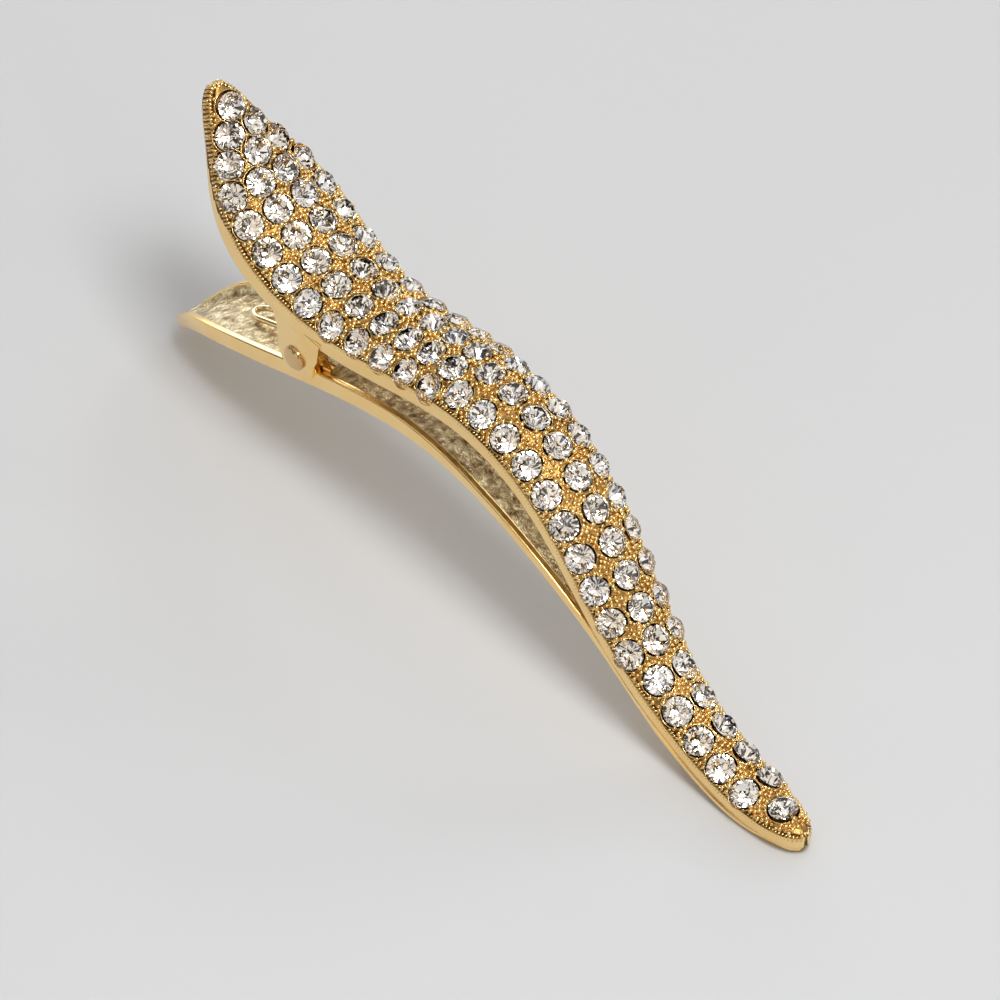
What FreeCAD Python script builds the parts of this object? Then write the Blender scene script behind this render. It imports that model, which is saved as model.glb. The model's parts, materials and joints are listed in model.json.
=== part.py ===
import FreeCAD, Part
import math
import os

import Sketcher
from FreeCAD import Placement, Rotation, Vector

# Rhinestone hair clip: a cast, gold-plated beak clip with a wave-shaped jewelled upper arm,
# a slim lower arm with a dished thumb lever, a rivet hinge, a torsion spring and chaton
# rhinestones set in courses.  Millimetres.  +X runs to the closed tips, +Y is the hinge line,
# +Z is up.  The clip stands on its lever tip and its toe, origin under the middle of its box.

os.makedirs("parts", exist_ok=True)
doc = FreeCAD.newDocument("RhinestoneHairClip")

# ---------------------------------------------------------------- driving dimensions
SIZES = {
    # hinge
    "hinge_x": -23.0,
    "hinge_z": 17.7,
    "pin_radius": 0.80,
    "pin_play": 0.06,
    "pin_fit": 0.02,
    "head_radius": 1.35,
    "head_height": 0.70,
    "knuckle_radius": 2.60,
    "outer_ear_in": 4.60,
    "outer_ear_out": 5.60,
    "inner_ear_in": 3.50,
    "inner_ear_out": 4.45,
    # upper arm
    "shell_wall": 1.60,
    "rim_wall": 0.95,
    "dome_angle_tail": 45.0,
    "dome_angle_front": 58.0,
    # lower arm
    "arm_floor": 0.80,
    "arm_wall": 0.90,
    "toe_gap": 0.10,
    # rhinestone and its seat
    "stone_radius": 1.50,
    "stone_table": 0.85,
    "stone_crown": 0.55,
    "stone_girdle": 0.20,
    "stone_pavilion": 1.15,
    "stone_sink": 0.15,
    "seat_play": 0.03,
    "seat_depth": 0.62,
    "seat_hole": 1.00,
    # spring
    "wire_radius": 0.35,
    "coil_radius": 1.45,
    "coil_turns": 3,
    "coil_side": 1.60,
}

sheet = doc.addObject("Spreadsheet::Sheet", "Sizes")
for row, (name, value) in enumerate(SIZES.items(), start=1):
    sheet.set("A%d" % row, name)
    sheet.set("B%d" % row, str(value))
    sheet.setAlias("B%d" % row, name)
doc.recompute()


def size(name):
    """A driving dimension, read from the sheet."""
    return float(sheet.get(name))


HINGE = Vector(size("hinge_x"), 0, size("hinge_z"))
ACROSS = Vector(0, 1, 0)


# ---------------------------------------------------------------- outlines
def smooth(points):
    """An interpolated curve through (x, value) points, kept in the XZ plane."""
    curve = Part.BSplineCurve()
    curve.interpolate([Vector(x, 0, value) for x, value in points])
    return curve


def parameter_at(curve, x):
    """The parameter where a curve that runs along +X reaches x."""
    low = curve.FirstParameter
    high = curve.LastParameter
    for _ in range(50):
        middle = 0.5 * (low + high)
        if curve.value(middle).x < x:
            low = middle
        else:
            high = middle
    return 0.5 * (low + high)


def height_at(curve, x):
    return curve.value(parameter_at(curve, x)).z


def straight(points, x):
    """Straight interpolation in a short list of (x, value) points."""
    if x <= points[0][0]:
        return points[0][1]
    for (x0, v0), (x1, v1) in zip(points, points[1:]):
        if x <= x1:
            return v0 + (v1 - v0) * (x - x0) / (x1 - x0)
    return points[-1][1]


# Side view of the upper arm: the lower edge of its rim, from the raised tail to the front tip.
UPPER_SIDE = smooth([
    (-42.6, 36.6), (-36.4, 28.8), (-29.0, 23.6), (-19.2, 21.4), (-4.0, 24.1), (2.4, 24.4),
    (8.1, 22.8), (13.6, 18.6), (19.6, 11.8), (27.8, 5.1), (36.2, 1.8), (42.3, 1.0), (47.0, 0.9)])
# Plan view: half-width of the rim.  Height of the rim below the dome.
UPPER_PLAN = smooth([
    (-42.6, 0.8), (-39.9, 3.0), (-36.4, 5.2), (-32.7, 6.35), (-29.0, 6.55), (-19.2, 5.7),
    (-4.0, 4.9), (8.1, 4.6), (19.6, 3.9), (27.8, 3.2), (36.2, 2.9), (42.3, 2.5), (45.4, 1.8),
    (47.0, 0.7)])
UPPER_RIM = [(-42.6, 1.3), (-33.0, 2.4), (-24.0, 2.4), (-4.0, 1.9), (14.0, 1.6), (47.0, 1.3)]
UPPER_ENDS = (-42.6, 47.0)

# Side view of the lower arm: the lower edge of its walls, lever tip to toe.
LOWER_SIDE = smooth([
    (-46.2, 0.8), (-41.5, 6.0), (-36.1, 9.1), (-27.2, 12.7), (-16.2, 16.5), (-3.8, 18.3),
    (4.5, 16.9), (13.4, 13.5), (20.4, 9.4), (24.1, 6.6), (28.9, 3.3), (34.0, 1.2),
    (39.0, 0.1), (43.0, -0.1), (46.4, 0.1)])
LOWER_PLAN = smooth([
    (-46.2, 0.9), (-44.6, 2.1), (-41.5, 3.6), (-36.1, 4.8), (-27.2, 5.3), (-16.2, 5.2),
    (-3.8, 4.7), (8.8, 4.3), (17.2, 3.9), (24.1, 3.4), (32.9, 2.9), (41.3, 2.4), (44.5, 1.7),
    (46.4, 0.7)])
LOWER_WALL = [(-46.2, 1.2), (-41.0, 1.9), (-22.0, 2.0), (-8.0, 1.9), (3.0, 1.3), (19.0, 1.1),
              (24.0, 0.8), (46.4, 0.7)]
LOWER_ENDS = (-46.2, 46.4)


def stations(ends, step=2.3):
    """Places of the cross-sections along an arm, closer together at its rounded ends."""
    first, last = ends
    count = int((last - first - 4.0) / step)
    even = [first + 2.0 + (last - first - 4.0) * i / count for i in range(count + 1)]
    return [first, first + 0.4, first + 1.1] + even + [last - 1.1, last - 0.4, last]


UPPER_STATIONS = stations(UPPER_ENDS)
LOWER_STATIONS = stations(LOWER_ENDS)
TROUGH_STATIONS = [x for x in LOWER_STATIONS if -44.9 < x < 25.0]


class Station:
    """A cross-section place on an arm: its point, its upward normal and its half-width."""

    def __init__(self, side, plan, x):
        at = parameter_at(side, x)
        along = side.tangent(at)[0]
        self.x = x
        self.point = side.value(at)
        self.up = Vector(-along.z, 0, along.x)
        self.half = height_at(plan, x)

    def place(self, across, up):
        return self.point + ACROSS * across + self.up * up


def lofted(wires):
    """A solid through cross-sections, ruled from each one to the next."""
    return Part.makeLoft(wires, True, True)


def flat_section(station, half, low, high):
    """A rectangle across the arm."""
    corners = [station.place(-half, low), station.place(half, low),
               station.place(half, high), station.place(-half, high)]
    return Part.makePolygon(corners + corners[:1])


def domed_section(station, half, low, spring, crown):
    """Flat below, upright sides to the springing height, one arc over the top."""
    corners = [station.place(half, spring), station.place(half, low),
               station.place(-half, low), station.place(-half, spring)]
    lines = [Part.LineSegment(a, b).toShape() for a, b in zip(corners, corners[1:])]
    arc = Part.Arc(corners[3], station.place(0, crown), corners[0]).toShape()
    return Part.Wire(lines + [arc])


# ---------------------------------------------------------------- upper arm
def dome_at(x):
    """Dome of the upper arm at x: (rim height, half-width, half-angle, arc radius)."""
    share = (x - UPPER_STATIONS[0]) / (UPPER_STATIONS[-1] - UPPER_STATIONS[0])
    opening = size("dome_angle_tail") + share * (size("dome_angle_front") - size("dome_angle_tail"))
    angle = math.radians(opening)
    half = height_at(UPPER_PLAN, x)
    return straight(UPPER_RIM, x), half, angle, half / math.sin(angle)


def upper_section(x):
    rim, half, angle, radius = dome_at(x)
    station = Station(UPPER_SIDE, UPPER_PLAN, x)
    return domed_section(station, half, 0.0, rim, rim + radius * (1 - math.cos(angle)))


def hollow_section(x):
    """The space under the dome, a wall thickness inside it."""
    rim, half, angle, radius = dome_at(x)
    inner = radius - size("shell_wall")
    across = min(half - size("rim_wall"), 0.85 * inner)
    centre = rim - radius * math.cos(angle)
    spring = centre + math.sqrt(inner * inner - across * across)
    station = Station(UPPER_SIDE, UPPER_PLAN, x)
    return domed_section(station, across, -1.5, spring, centre + inner)


def upper_shell():
    body = lofted([upper_section(x) for x in UPPER_STATIONS])
    hollow = lofted([hollow_section(x) for x in UPPER_STATIONS if -40.5 < x < 43.0])
    return body.cut(hollow)


def upright_cylinder(radius, inside, outside, side):
    """A cylinder on the hinge line between two distances from the middle, on one side."""
    start = HINGE + ACROSS * (side * inside)
    return Part.makeCylinder(radius, outside - inside, start, ACROSS * side)


def ear(inside, outside, side, corners):
    """A hinge ear: a knuckle round the pin joined to a web with the given (x, z) corners."""
    points = [HINGE + Vector(x, side * inside, z) for x, z in corners]
    face = Part.Face(Part.makePolygon(points + points[:1]))
    web = face.extrude(ACROSS * (side * (outside - inside)))
    return web.fuse(upright_cylinder(size("knuckle_radius"), inside, outside, side))


def fused_clean(first, others):
    return first.fuse(others).removeSplitter()


# ---------------------------------------------------------------- places of the rhinestones
class Dome:
    """Places on the dome by arc length along the arm and arc length across it."""

    def __init__(self, steps=600):
        first = UPPER_STATIONS[0]
        span = UPPER_STATIONS[-1] - first
        self.table = []
        run = 0.0
        last = None
        for i in range(steps + 1):
            x = first + span * i / steps
            station = Station(UPPER_SIDE, UPPER_PLAN, x)
            rim, half, angle, radius = dome_at(x)
            here = station.place(0, rim + 0.7 * radius * (1 - math.cos(angle)))
            if last is not None:
                run += here.distanceToPoint(last)
            last = here
            self.table.append((run, x))

    def x_at(self, run):
        return straight(self.table, run)

    def half_arc(self, run):
        rim, half, angle, radius = dome_at(self.x_at(run))
        return radius * angle

    def place(self, run, across):
        """Point on the surface and its outward normal."""
        x = self.x_at(run)
        station = Station(UPPER_SIDE, UPPER_PLAN, x)
        rim, half, angle, radius = dome_at(x)
        turn = across / radius
        rise = rim + radius * (math.cos(turn) - math.cos(angle))
        normal = station.up * math.cos(turn) + ACROSS * math.sin(turn)
        return station.place(radius * math.sin(turn), rise), normal


# The tail is filled by a fan of one, two and three stones, then courses of four, three and
# two follow as the arm narrows, and one stone closes the tip.
TAIL_FAN = [(2.4, 1), (4.9, 2), (7.4, 3)]
FIRST_COURSE = 10.25
TIP_STONE = 97.0
FAN_PITCH = 3.25
ROW_PITCH = (3.06, 3.35)
EDGE_MARGIN = 1.35
FRONT_DRIFT = 0.35
COURSE_PITCH = [(10.0, 3.08), (21.0, 3.2), (29.0, 3.60), (49.0, 3.50), (100.0, 3.56)]


def lag_at(run):
    """How far the inner rows trail the near row, largest before the crest of the wave."""
    return 1.25 * math.exp(-((run - 33.0) / 12.0) ** 2)


def course(dome, run):
    """One course: places (run, across) of its stones."""
    half_arc = dome.half_arc(run)
    if half_arc > 5.60:
        count = 4
    elif half_arc > 4.20:
        count = 3
    else:
        count = 2
    room = 2 * (half_arc - EDGE_MARGIN) / (count - 1)
    pitch = min(max(room, ROW_PITCH[0]), ROW_PITCH[1])
    drift = FRONT_DRIFT if count == 3 else 0.0
    if count == 3:
        drift = min(drift, half_arc - pitch - 1.15)
    places = []
    for row in range(count):
        across = (row - (count - 1) / 2) * pitch
        lag = 0.0 if row == 0 else lag_at(run)
        places.append((run + lag, across + (drift if row > 0 else 0.0)))
    return places


def all_courses(dome):
    courses = []
    for run, count in TAIL_FAN:
        courses.append([(run, (row - (count - 1) / 2) * FAN_PITCH) for row in range(count)])
    run = FIRST_COURSE
    while run < TIP_STONE - 3.0:
        courses.append(course(dome, run))
        run += straight(COURSE_PITCH, run)
    courses.append([(TIP_STONE, 0.0)])
    return courses


def revolved(points):
    """A solid of revolution about Z from an (r, z) outline that starts and ends on the axis."""
    outline = [Vector(r, 0, z) for r, z in points]
    face = Part.Face(Part.makePolygon(outline + outline[:1]))
    return face.revolve(Vector(0, 0, 0), Vector(0, 0, 1), 360)


def set_on(shape, point, normal):
    """A copy of a shape stood on a surface point, its +Z along the normal."""
    copy = shape.copy()
    copy.Placement = Placement(point, Rotation(Vector(0, 0, 1), normal))
    return copy


def stone_shape():
    """A chaton: table, crown, girdle and a pointed pavilion, girdle foot just below z = 0."""
    foot = -size("stone_sink")
    brow = foot + size("stone_girdle")
    return revolved([
        (0, foot - size("stone_pavilion")), (0.15, foot - size("stone_pavilion")),
        (size("stone_radius"), foot), (size("stone_radius"), brow),
        (size("stone_table"), brow + size("stone_crown")), (0, brow + size("stone_crown"))])


def seat_shape():
    """What a stone's seat takes out of the shell: a stepped hole open at the back."""
    radius = size("stone_radius") + size("seat_play")
    through = size("shell_wall") + 0.3
    return revolved([
        (0, -through), (size("seat_hole"), -through), (size("seat_hole"), -size("seat_depth")),
        (radius, -size("seat_depth")), (radius, 1.2), (0, 1.2)])


def seats_open(arm, spots):
    """Whether every seat is empty near its wall, both under and over the surface."""
    reach = 0.8 * size("stone_radius")
    for point, normal in spots:
        aside = normal.cross(ACROSS).normalize()
        level = normal.cross(aside)
        for away in (level, level * -1, aside, aside * -1):
            for height in (-0.4, 0.6):
                if arm.isInside(point + normal * height + away * reach, 0.001, True):
                    return False
    return True


def with_seats(arm, seat, spots):
    """The arm with one course of seats cut.  A seam of a seat that runs along an edge of the
    arm can spoil the cut or leave a speck of an edge, so the seats are turned about their own
    axes until it is sound, and cut one by one if they only fail together."""
    volume = arm.Volume
    for turn in (0, 35, 80, 125, 160):
        tools = []
        for point, normal in spots:
            tool = set_on(seat, point, normal)
            tool.rotate(point, normal, turn)
            tools.append(tool)
        try:
            cut = arm.cut(tools)
        except ValueError:
            continue
        kept = volume - len(tools) * seat.Volume < cut.Volume < volume
        shortest = min((edge.Length for edge in cut.Edges), default=0.0)
        if kept and shortest > 0.001 and cut.isValid() and seats_open(cut, spots):
            return cut
    if len(spots) == 1:
        raise RuntimeError("the seat at x %.2f can't be cut" % spots[0][0].x)
    for spot in spots:
        arm = with_seats(arm, seat, [spot])
    return arm


def upper_arm_shape(courses, dome):
    shell = upper_shell()
    web = [(-2.4, 0), (-2.6, 2.2), (-3.4, 5.6), (5.0, 5.6), (3.6, 2.0), (2.6, 0)]
    ears = [ear(size("outer_ear_in"), size("outer_ear_out"), side, web) for side in (-1, 1)]
    arm = fused_clean(shell, ears)
    bore = size("pin_radius") + size("pin_fit")
    arm = arm.cut([upright_cylinder(bore, 3.0, 8.0, side) for side in (-1, 1)])
    seat = seat_shape()
    for places in courses:
        arm = with_seats(arm, seat, [dome.place(run, across) for run, across in places])
    return arm


# ---------------------------------------------------------------- lower arm
def lower_wire(x, inset, low, high):
    station = Station(LOWER_SIDE, LOWER_PLAN, x)
    return flat_section(station, station.half - inset, low, high)


def lower_arm_shape():
    body = lofted([lower_wire(x, 0.0, 0.0, straight(LOWER_WALL, x)) for x in LOWER_STATIONS])
    floor = size("arm_floor")
    wires = []
    for x in TROUGH_STATIONS:
        depth = min(floor, 0.72 * straight(LOWER_WALL, x))
        wires.append(lower_wire(x, size("arm_wall"), depth, 4.0))
    trough = lofted(wires)
    web = [(-2.6, 0), (-2.6, -3.4), (3.9, -2.4), (3.9, 1.2), (2.4, 1.0)]
    ears = [ear(size("inner_ear_in"), size("inner_ear_out"), side, web) for side in (-1, 1)]
    arm = fused_clean(body.cut(trough), ears)
    bore = size("pin_radius") + size("pin_play")
    holes = [upright_cylinder(bore, 2.0, 6.0, side) for side in (-1, 1)]
    # room for the knuckles of the upper arm to turn beside the inner ears
    swing = size("knuckle_radius") + 0.12
    for side in (-1, 1):
        holes.append(upright_cylinder(swing, size("inner_ear_out") + 0.02, 7.0, side))
    # the lever tip and the toe stand flat on the ground
    holes.append(Part.makeBox(120, 30, 10, Vector(-60, -15, -10)))
    # the front of the jaw stays a hair below the rim it closes against
    gap = size("toe_gap")
    lids = []
    for x in [x for x in UPPER_STATIONS if x > 12]:
        station = Station(UPPER_SIDE, UPPER_PLAN, x)
        lids.append(flat_section(station, 8.0, -gap, 4.0))
    holes.append(lofted(lids))
    return arm.cut(holes)


# ---------------------------------------------------------------- build the upper and lower arm
dome = Dome()
courses = all_courses(dome)


def feature(label, shape):
    item = doc.addObject("Part::Feature", label)
    item.Shape = shape
    item.Label = label
    return item


nodes = []
nodes.append(feature("upper_arm", upper_arm_shape(courses, dome)))
nodes.append(feature("lower_arm", lower_arm_shape()))

stone = stone_shape()
for number, places in enumerate(courses, start=1):
    stones = []
    for run, across in places:
        point, normal = dome.place(run, across)
        stones.append(set_on(stone, point, normal))
    nodes.append(feature("rhinestone_course_%02d" % number, Part.makeCompound(stones)))


# ---------------------------------------------------------------- hinge rivet
def origin_plane(body, role):
    for item in body.Origin.OriginFeatures:
        if item.Role == role:
            return item


def line_loop(sketch, points):
    """A closed chain of lines with coincident ends."""
    first = sketch.GeometryCount
    count = len(points)
    for i in range(count):
        a = Vector(points[i][0], points[i][1], 0)
        b = Vector(points[(i + 1) % count][0], points[(i + 1) % count][1], 0)
        sketch.addGeometry(Part.LineSegment(a, b), False)
    for i in range(count):
        sketch.addConstraint(
            Sketcher.Constraint("Coincident", first + i, 2, first + (i + 1) % count, 1))


def bound_distance(sketch, kind, point, name, expression):
    """A dimension from the sketch origin to a line's start, bound to the sheet."""
    sketch.addConstraint(Sketcher.Constraint(kind, -1, 1, point, 1, 1.0))
    index = sketch.ConstraintCount - 1
    sketch.renameConstraint(index, name)
    sketch.setExpression("Constraints." + name, expression)


rivet = doc.addObject("PartDesign::Body", "hinge_rivet")
rivet.Label = "hinge_rivet"
outline = rivet.newObject("Sketcher::SketchObject", "RivetOutline")
outline.AttachmentSupport = [(origin_plane(rivet, "XY_Plane"), "")]
outline.MapMode = "FlatFace"
# Half of the rivet in the plane of its axis (Y): shank, head foot, head edge, crown.
line_loop(outline, [(0, 0), (0.8, 0), (0.8, 5.6), (1.35, 5.6), (1.35, 5.85), (0.75, 6.2), (0, 6.3)])
bound_distance(outline, "DistanceX", 1, "shank", "Sizes.pin_radius")
bound_distance(outline, "DistanceX", 3, "head", "Sizes.head_radius")
bound_distance(outline, "DistanceY", 3, "seat", "Sizes.outer_ear_out + 0.03")
bound_distance(outline, "DistanceY", 6, "crown", "Sizes.outer_ear_out + Sizes.head_height")
half = rivet.newObject("PartDesign::Revolution", "HalfRivet")
half.Profile = outline
half.ReferenceAxis = (outline, ["V_Axis"])
half.Angle = 360
doc.recompute()
whole = rivet.newObject("PartDesign::Mirrored", "BothHeads")
whole.Originals = [half]
whole.MirrorPlane = (origin_plane(rivet, "XZ_Plane"), [""])
rivet.Tip = whole
rivet.setExpression("Placement.Base.x", "Sizes.hinge_x")
rivet.setExpression("Placement.Base.z", "Sizes.hinge_z")
nodes.append(rivet)


# ---------------------------------------------------------------- torsion spring
def coil(side):
    """A close-wound coil on the rivet, as one ribbed sleeve: touching turns side by side."""
    wire = size("wire_radius")
    mean = size("coil_radius")
    turns = int(size("coil_turns"))
    rings = []
    for turn in range(turns):
        offset = size("coil_side") + (turn - (turns - 1) / 2) * wire * 1.9
        centre = HINGE + ACROSS * (side * offset)
        rings.append(Part.makeTorus(mean, wire, centre, ACROSS))
    return rings[0].fuse(rings[1:])


def rod(points):
    """Round wire through points: straight runs with a ball at each bend."""
    wire = size("wire_radius")
    pieces = []
    for a, b in zip(points, points[1:]):
        pieces.append(Part.makeCylinder(wire, a.distanceToPoint(b), a, b - a))
        pieces.append(Part.makeSphere(wire, b))
    return pieces


def spring_shape():
    mean = size("coil_radius")
    inner = size("coil_side") - size("wire_radius") * 1.9
    outer = size("coil_side") + size("wire_radius") * 1.9
    pieces = []
    for side in (-1, 1):
        pieces.append(coil(side))
        # leg that presses up under the dome
        pieces += rod([HINGE + Vector(0, side * outer, mean), HINGE + Vector(7.5, side * outer, 4.1)])
        # leg down to the cross-bar that presses on the lever
        pieces += rod([
            HINGE + Vector(0, side * inner, -mean), HINGE + Vector(-11.0, side * inner, -6.1),
            HINGE + Vector(-13.0, side * 0.4, -6.9)])
    pieces += rod([HINGE + Vector(-13.0, -0.4, -6.9), HINGE + Vector(-13.0, 0.4, -6.9)])
    return pieces[0].fuse(pieces[1:]).removeSplitter()


nodes.append(feature("torsion_spring", spring_shape()))

# ---------------------------------------------------------------- check and write
doc.recompute()
for item in doc.Objects:
    for state in item.State:
        if state in ("Invalid", "Error"):
            raise RuntimeError("%s is %s" % (item.Label, state))
for node in nodes:
    shape = node.Shape
    if shape.isNull() or not shape.isValid() or shape.Volume <= 0:
        raise RuntimeError("%s has no valid shape" % node.Label)
    shape.exportStep("parts/%s.step" % node.Label)
    box = shape.BoundBox
    print("%-24s solids %d  volume %8.2f  x %6.2f %6.2f  y %5.2f %5.2f  z %6.2f %6.2f" % (
        node.Label, len(shape.Solids), shape.Volume, box.XMin, box.XMax, box.YMin, box.YMax,
        box.ZMin, box.ZMax))
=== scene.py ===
import json
import math
import random

import bmesh
import bpy
import numpy as np
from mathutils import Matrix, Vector, kdtree


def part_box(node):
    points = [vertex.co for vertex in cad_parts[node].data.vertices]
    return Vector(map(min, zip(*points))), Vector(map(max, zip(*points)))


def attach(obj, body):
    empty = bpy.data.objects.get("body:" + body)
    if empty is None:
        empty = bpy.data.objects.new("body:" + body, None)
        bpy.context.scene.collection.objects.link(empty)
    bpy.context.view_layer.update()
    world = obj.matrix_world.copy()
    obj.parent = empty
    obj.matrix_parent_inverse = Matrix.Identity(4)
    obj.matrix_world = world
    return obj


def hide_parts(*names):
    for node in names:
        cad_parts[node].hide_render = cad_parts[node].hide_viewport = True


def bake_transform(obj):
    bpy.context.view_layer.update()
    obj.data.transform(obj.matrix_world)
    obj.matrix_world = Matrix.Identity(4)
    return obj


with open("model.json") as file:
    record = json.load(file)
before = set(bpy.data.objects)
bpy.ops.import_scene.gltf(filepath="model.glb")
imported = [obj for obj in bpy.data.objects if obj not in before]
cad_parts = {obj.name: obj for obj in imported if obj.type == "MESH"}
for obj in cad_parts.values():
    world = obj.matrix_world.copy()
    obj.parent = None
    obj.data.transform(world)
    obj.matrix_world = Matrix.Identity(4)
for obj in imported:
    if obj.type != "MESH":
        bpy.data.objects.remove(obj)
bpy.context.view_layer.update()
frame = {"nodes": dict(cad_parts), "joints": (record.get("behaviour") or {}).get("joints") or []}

MM = 0.001
TRIM = 0.01
UPPER = "upper_jaw"
LOWER = "lower_jaw"
random.seed(7)

# ---------------------------------------------------------------- the clip's measures, in mm
hinge_joint = frame["joints"][0]
HINGE = np.array(hinge_joint["pos_m"]) / MM
rivet_low, rivet_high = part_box("hinge_rivet")
HEAD_RADIUS = (rivet_high.z - rivet_low.z) / 2 / MM
RIVET_HALF = rivet_high.y / MM
stone_low, stone_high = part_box("rhinestone_course_29")
STONE_RADIUS = (stone_high.y - stone_low.y) / 2 / MM

# Side outlines (x, z) and plan outlines (x, half-width) of the two arms.
UPPER_SIDE = [(-42.6, 36.6), (-36.4, 28.8), (-29.0, 23.6), (-19.2, 21.4), (-4.0, 24.1),
              (2.4, 24.4), (8.1, 22.8), (13.6, 18.6), (19.6, 11.8), (27.8, 5.1), (36.2, 1.8),
              (42.3, 1.0), (46.9, 0.95)]
UPPER_PLAN = [(-42.6, 0.5), (-42.3, 1.1), (-39.9, 3.0), (-36.4, 5.2), (-32.7, 6.33),
              (-29.0, 6.46), (-19.2, 5.7), (-4.0, 4.9), (8.1, 4.6), (19.6, 3.9), (27.8, 3.2),
              (36.2, 2.9), (42.3, 2.5), (45.4, 1.7), (46.5, 0.95), (46.9, 0.35)]
UPPER_RIM = [(-42.6, 1.26), (-33.0, 2.4), (-24.0, 2.4), (-4.0, 1.9), (14.0, 1.6), (46.9, 1.3)]
DOME_ANGLES = (math.radians(45), math.radians(58))
LOWER_SIDE = [(-46.2, 0.85), (-41.5, 6.0), (-36.1, 9.1), (-27.2, 12.7), (-16.2, 16.5),
              (-3.8, 18.3), (4.5, 16.9), (13.4, 13.5), (20.4, 9.4), (24.1, 6.6), (28.9, 3.3),
              (34.0, 1.2), (39.0, 0.15), (43.0, 0.02), (46.4, 0.1)]
LOWER_PLAN = [(-46.2, 0.5), (-45.9, 1.0), (-44.6, 2.1), (-41.5, 3.6), (-36.1, 4.8),
              (-27.2, 5.3), (-16.2, 5.2), (-3.8, 4.7), (8.8, 4.3), (17.2, 3.9), (24.1, 3.4),
              (32.9, 2.9), (41.3, 2.35), (44.5, 1.6), (46.0, 0.9), (46.4, 0.4)]
LOWER_WALL = [(-46.2, 1.2), (-41.0, 1.9), (-22.0, 2.0), (-8.0, 1.9), (3.0, 1.3), (19.0, 1.1),
              (24.0, 0.8), (46.4, 0.7)]


CURVE_STEPS = 4000
SLOPE_STEP = 0.02


class Curve:
    """A natural cubic spline through (x, value) points, over their chord length."""

    def __init__(self, points):
        self.points = np.array(points, float)
        steps = np.hypot(*np.diff(self.points, axis=0).T)
        self.at = np.concatenate([[0], np.cumsum(steps)])
        n = len(points)
        rows = np.eye(n)
        right = np.zeros((n, 2))
        for i in range(1, n - 1):
            rows[i, i - 1] = steps[i - 1]
            rows[i, i] = 2 * (steps[i - 1] + steps[i])
            rows[i, i + 1] = steps[i]
            right[i] = 6 * ((self.points[i + 1] - self.points[i]) / steps[i]
                            - (self.points[i] - self.points[i - 1]) / steps[i - 1])
        self.bend = np.linalg.solve(rows, right)
        self.fine = np.linspace(0, self.at[-1], CURVE_STEPS)
        self.fine_x = self.point_at(self.fine)[:, 0]

    def point_at(self, t):
        i = np.clip(np.searchsorted(self.at, t, side="right") - 1, 0, len(self.at) - 2)
        gap = (self.at[i + 1] - self.at[i])[:, None]
        a = (self.at[i + 1] - t)[:, None]
        b = (t - self.at[i])[:, None]
        p, m = self.points, self.bend
        return (m[i] * a ** 3 / (6 * gap) + m[i + 1] * b ** 3 / (6 * gap)
                + (p[i] / gap - m[i] * gap / 6) * a + (p[i + 1] / gap - m[i + 1] * gap / 6) * b)

    def parameter(self, x):
        return np.interp(x, self.fine_x, self.fine)

    def value(self, x):
        return self.point_at(self.parameter(np.atleast_1d(x)))[:, 1]

    def place(self, x):
        """Points and upward unit normals in the XZ plane at the given x."""
        t = self.parameter(np.atleast_1d(x))
        here = self.point_at(t)
        ahead = self.point_at(np.clip(t + SLOPE_STEP, 0, self.at[-1]))
        behind = self.point_at(np.clip(t - SLOPE_STEP, 0, self.at[-1]))
        along = ahead - behind
        along /= np.linalg.norm(along, axis=1)[:, None]
        return here, np.stack([-along[:, 1], along[:, 0]], 1)


def table(points, x):
    xs, values = zip(*points)
    return np.interp(x, xs, values)


upper_side, upper_plan = Curve(UPPER_SIDE), Curve(UPPER_PLAN)
lower_side, lower_plan = Curve(LOWER_SIDE), Curve(LOWER_PLAN)


def in_space(point_xz, normal_xz, across, rise):
    """(x, y, z) from a place on a side outline, a distance across and one along the normal."""
    return np.stack([point_xz[..., 0] + normal_xz[..., 0] * rise, across,
                     point_xz[..., 1] + normal_xz[..., 1] * rise], -1)


def even_stations(side, first, last, count):
    """x places evenly spaced along the side outline."""
    t = np.linspace(side.parameter(first), side.parameter(last), count)
    return side.point_at(t)[:, 0]


# ---------------------------------------------------------------- mesh helpers
def mesh_object(name, verts_mm, faces, smooth=True):
    mesh = bpy.data.meshes.new(name)
    mesh.from_pydata((np.asarray(verts_mm) * MM).tolist(), [], faces)
    mesh.validate()
    if smooth:
        mesh.polygons.foreach_set("use_smooth", [True] * len(mesh.polygons))
    mesh.update()
    obj = bpy.data.objects.new(name, mesh)
    bpy.context.scene.collection.objects.link(obj)
    return obj


def outward(obj):
    """Makes every face point out of the closed mesh."""
    work = bmesh.new()
    work.from_mesh(obj.data)
    bmesh.ops.recalc_face_normals(work, faces=work.faces)
    work.to_mesh(obj.data)
    work.free()
    return obj


def grid_faces(rows, columns, start=0, close=False):
    faces = []
    wide = columns if close else columns - 1
    for i in range(rows - 1):
        for j in range(wide):
            k = (j + 1) % columns
            faces.append((start + i * columns + j, start + i * columns + k,
                          start + (i + 1) * columns + k, start + (i + 1) * columns + j))
    return faces


def close_ends(faces, rows, columns):
    """Adds a face over the first row and over the last row of a closed grid."""
    faces.append(tuple(range(columns))[::-1])
    faces.append(tuple((rows - 1) * columns + j for j in range(columns)))


class Soup:
    """Many small solids gathered into one mesh."""

    def __init__(self):
        self.verts = []
        self.faces = []
        self.count = 0

    def add(self, verts, faces):
        self.verts.append(np.asarray(verts, float))
        self.faces += [tuple(i + self.count for i in face) for face in faces]
        self.count += len(verts)

    def build(self, name, box, smooth=True):
        """One mesh of all the solids, trimmed to a box of the CAD model."""
        low, high = (np.array(corner) / MM for corner in box)
        verts = np.clip(np.concatenate(self.verts), low + TRIM, high - TRIM)
        return mesh_object(name, verts, self.faces, smooth)


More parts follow.
